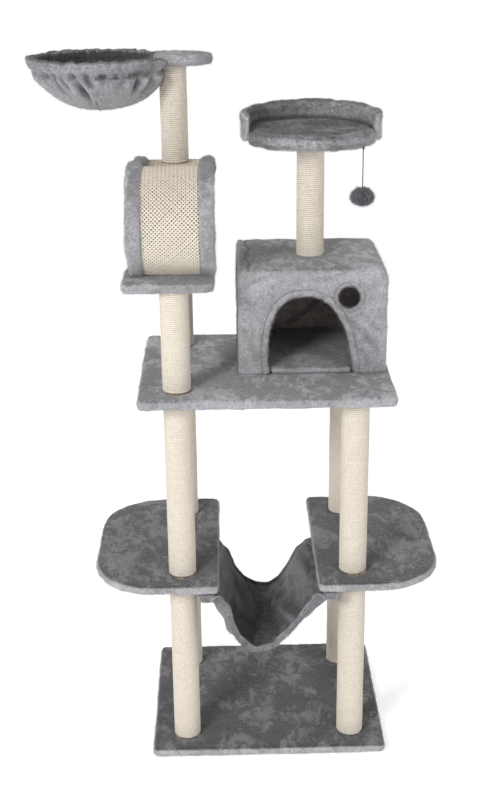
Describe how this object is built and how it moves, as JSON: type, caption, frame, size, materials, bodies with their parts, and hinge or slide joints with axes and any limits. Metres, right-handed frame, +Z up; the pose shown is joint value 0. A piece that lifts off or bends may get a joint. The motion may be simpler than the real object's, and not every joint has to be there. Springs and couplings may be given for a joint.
{
  "type": "cat tree",
  "caption": "Tall cat tree with rope-wrapped posts, rounded decks, a plush hammock, a house, a round bed, a curved scratcher, a hanging basket and a toy on a string.",
  "frame": {"origin": "middle of the underside of the base, on the floor", "axes": "+Z up, -Y towards the front with the house door, +X to the right as seen from the front"},
  "size_m": [0.9934, 0.5914, 1.724],
  "materials": {
    "grey_plush": "short-pile grey plush with brushed patches",
    "sisal_rope": "tightly wound natural sisal rope",
    "sisal_weave": "open diagonal sisal weave",
    "cardboard": "wound paper tube",
    "chipboard": "raw chipboard",
    "plywood": "raw thin plywood",
    "zinc_steel": "zinc plated",
    "black_elastic": "matt braided elastic",
    "pompom_yarn": "dark grey long-pile yarn"
  },
  "bodies": {
    "tree": {"base_board": "chipboard", "base_cover": "grey_plush", "left_deck_board": "chipboard", "left_deck_cover": "grey_plush", "right_deck_board": "chipboard", "right_deck_cover": "grey_plush", "platform_board": "chipboard", "platform_cover": "grey_plush", "lower_front_left_sisal": "sisal_rope", "lower_front_right_sisal": "sisal_rope", "lower_rear_left_sisal": "sisal_rope", "lower_rear_right_sisal": "sisal_rope", "middle_front_left_sisal": "sisal_rope", "middle_front_right_sisal": "sisal_rope", "middle_rear_left_sisal": "sisal_rope", "middle_rear_right_sisal": "sisal_rope", "arch_front_sisal": "sisal_rope", "arch_rear_sisal": "sisal_rope", "basket_post_sisal": "sisal_rope", "bed_post_sisal": "sisal_rope", "lower_tubes": "cardboard", "middle_tubes": "cardboard", "arch_front_tube": "cardboard", "basket_post_tube": "cardboard", "bed_post_tube": "cardboard", "post_plugs": "plywood", "deck_studs": "zinc_steel", "end_studs": "zinc_steel", "base_bolts": "zinc_steel", "base_washers": "zinc_steel", "arch_plate_board": "chipboard", "arch_plate_cover": "grey_plush", "arch_board": "plywood", "arch_mat": "sisal_weave", "arch_left_trim": "grey_plush", "arch_right_trim": "grey_plush", "arch_brackets": "zinc_steel", "basket_plate_board": "chipboard", "basket_plate_cover": "grey_plush", "basket_ring": "zinc_steel", "basket_bag": "grey_plush", "house_front": "plywood", "house_back": "plywood", "house_left": "plywood", "house_right": "plywood", "house_roof": "plywood", "house_floor": "grey_plush", "house_cover": "grey_plush", "house_screws": "zinc_steel", "house_roof_bolt": "zinc_steel", "bed_board": "chipboard", "bed_cover": "grey_plush", "bed_wall": "grey_plush", "hammock_fabric": "grey_plush", "hammock_battens": "plywood", "batten_screws": "zinc_steel", "toy_tab": "black_elastic"},
    "toy_knot": {"toy_knot": "black_elastic"},
    "toy": {"toy_string": "black_elastic", "pompom": "pompom_yarn"}
  },
  "joints": [
    {"name": "toy_swing_front_back", "type": "hinge", "parent": "tree", "child": "toy_knot", "pos_m": [0.231, -0.044, 1.5275], "axis": [1, 0, 0], "range_deg": [-42, 42]},
    {"name": "toy_swing_side", "type": "hinge", "parent": "toy_knot", "child": "toy", "pos_m": [0.231, -0.044, 1.5275], "axis": [0, 1, 0], "range_deg": [-42, 42]}
  ]
}
